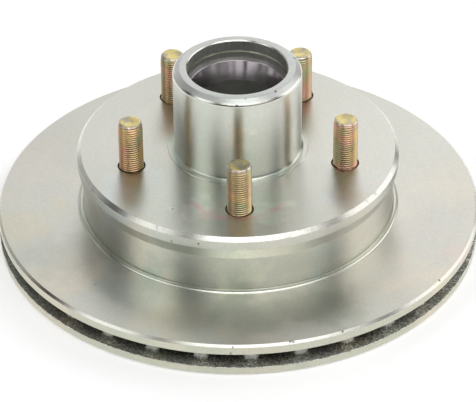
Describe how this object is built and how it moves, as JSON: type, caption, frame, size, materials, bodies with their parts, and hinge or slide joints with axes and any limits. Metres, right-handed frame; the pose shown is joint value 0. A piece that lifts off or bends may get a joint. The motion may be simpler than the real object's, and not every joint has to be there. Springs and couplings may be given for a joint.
{
  "type": "hub rotor",
  "caption": "Trailer wheel hub and ventilated brake disc cast in one piece, with pressed wheel studs and bearing cups.",
  "frame": {"origin": "centre of the disc's inboard friction face, on which the part rests", "axes": "+Z along the hub's axis towards the cap end and the wheel, -Y through the first wheel stud"},
  "size_m": [0.25, 0.25, 0.0983],
  "materials": {
    "plated_casting": "turned, clear zinc plated, rough cast in the vent gap and the back",
    "bearing_steel": "ground and polished",
    "yellow_zinc": "rolled thread, yellow zinc plated"
  },
  "bodies": {
    "root": {"hub_rotor": "plated_casting", "outer_bearing_cup": "bearing_steel", "inner_bearing_cup": "bearing_steel", "wheel_stud_1": "yellow_zinc", "wheel_stud_2": "yellow_zinc", "wheel_stud_3": "yellow_zinc", "wheel_stud_4": "yellow_zinc", "wheel_stud_5": "yellow_zinc"}
  },
  "joints": []
}
